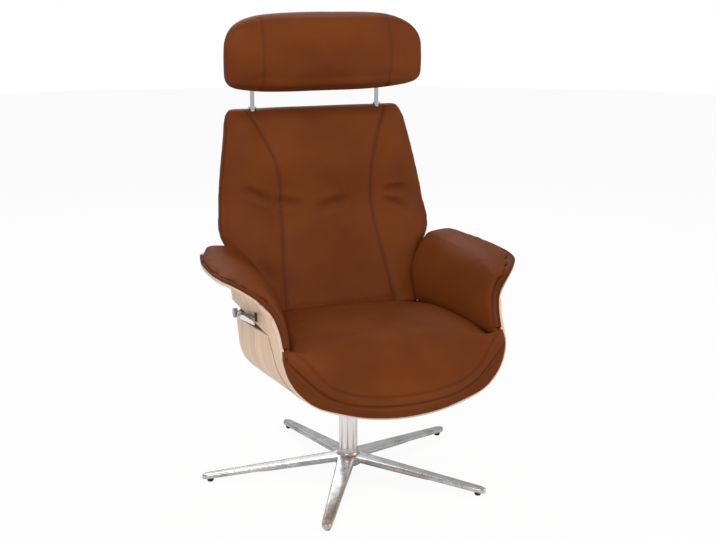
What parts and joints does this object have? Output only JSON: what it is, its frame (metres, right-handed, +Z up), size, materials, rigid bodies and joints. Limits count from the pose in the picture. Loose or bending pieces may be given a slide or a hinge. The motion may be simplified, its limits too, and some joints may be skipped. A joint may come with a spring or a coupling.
{
  "type": "star base swivel recliner",
  "caption": "Swivel recliner on a polished star base: moulded plywood bucket with flared arms, leather cushions, reclining back, adjustable headrest, side lock lever",
  "frame": {"origin": "on the floor, at the middle of the chair's footprint; the swivel axis stands 15 mm behind it", "axes": "+Z up, -Y the sitter's forward direction, +X the sitter's left"},
  "size_m": [0.6866, 0.7092, 1.0612],
  "materials": {
    "leather": "soft semi-aniline leather, cognac brown",
    "plywood": "clear lacquered moulded ash plywood",
    "inner_plywood": "raw birch plywood",
    "polished_aluminium": "polished casting",
    "chromed_steel": "polished chrome",
    "zinc_steel": "bright zinc plate",
    "fasteners": "zinc plated screws and bolts",
    "black_steel": "black powder coat",
    "black_plastic": "black nylon",
    "grey_plastic": "satin metal-look plastic",
    "bearing_plastic": "natural acetal"
  },
  "bodies": {
    "base": {"star_base": "polished_aluminium", "glides": "black_plastic", "column_tube": "chromed_steel", "column_bushes": "bearing_plastic", "thrust_washer": "bearing_plastic"},
    "swivel": {"spindle": "zinc_steel", "spindle_clip": "zinc_steel", "swivel_housing": "black_steel", "housing_bolts": "fasteners", "tilt_shaft": "zinc_steel", "shaft_clips": "zinc_steel", "lower_link_pin": "zinc_steel"},
    "link": {"tilt_link": "black_steel"},
    "seat": {"seat_bracket": "black_steel", "tilt_bushes": "bearing_plastic", "front_rail": "black_steel", "rear_rail": "black_steel", "rail_bolts": "fasteners", "corner_blocks": "inner_plywood", "seat_board": "inner_plywood", "seat_shell": "plywood", "rear_shell": "plywood", "seat_cushion": "leather", "arm_pad_left": "leather", "arm_pad_right": "leather", "pivot_bracket_left": "black_steel", "pivot_bracket_right": "black_steel", "bracket_screws": "fasteners", "pivot_pins": "zinc_steel", "lever_stub": "zinc_steel", "friction_discs": "bearing_plastic"},
    "backrest": {"back_arm_left": "black_steel", "back_arm_right": "black_steel", "back_crossbar": "zinc_steel", "link_fork": "black_steel", "upper_link_pin": "zinc_steel", "back_panel": "inner_plywood", "back_cushion": "leather", "back_cover": "leather", "panel_screws": "fasteners", "rod_guides": "chromed_steel"},
    "headrest_slide": {"headrest_rods": "chromed_steel", "headrest_crossbar": "chromed_steel"},
    "headrest": {"headrest_core": "inner_plywood", "headrest_clamps": "black_plastic", "headrest_cushion": "leather"},
    "knob": {"tension_knob": "grey_plastic"},
    "lever": {"lock_lever": "chromed_steel", "lever_handle": "black_plastic"}
  },
  "joints": [
    {"name": "seat_swivel", "type": "hinge", "parent": "base", "child": "swivel", "pos_m": [0, 0.015, 0.25], "axis": [0, 0, 1], "continuous": true},
    {"name": "seat_tilt", "type": "hinge", "parent": "swivel", "child": "seat", "pos_m": [0, -0.045, 0.291], "axis": [-1, 0, 0], "range_deg": [0, 6]},
    {"name": "link_swing", "type": "hinge", "parent": "swivel", "child": "link", "pos_m": [0, 0.065, 0.27], "axis": [-1, 0, 0], "range_deg": [-7.2, 0]},
    {"name": "back_recline", "type": "hinge", "parent": "seat", "child": "backrest", "pos_m": [0, 0.045, 0.405], "axis": [-1, 0, 0], "range_deg": [0, 20]},
    {"name": "headrest_height", "type": "slide", "parent": "backrest", "child": "headrest_slide", "axis": [0, 0, 1], "range_m": [0, 0.05]},
    {"name": "headrest_tilt", "type": "hinge", "parent": "headrest_slide", "child": "headrest", "pos_m": [0, 0.255, 0.925], "axis": [-1, 0, 0], "range_deg": [-12, 10]},
    {"name": "knob_turn", "type": "hinge", "parent": "seat", "child": "knob", "pos_m": [-0.258, 0.045, 0.405], "axis": [-1, 0, 0], "range_deg": [-360, 360]},
    {"name": "lever_lock", "type": "hinge", "parent": "seat", "child": "lever", "pos_m": [-0.26, -0.005, 0.413], "axis": [1, 0, 0], "range_deg": [0, 20]}
  ],
  "couplings": [
    {"joint": "back_recline", "follows": "seat_tilt", "ratio": 3.3333},
    {"joint": "link_swing", "follows": "seat_tilt", "ratio": -1.12}
  ]
}
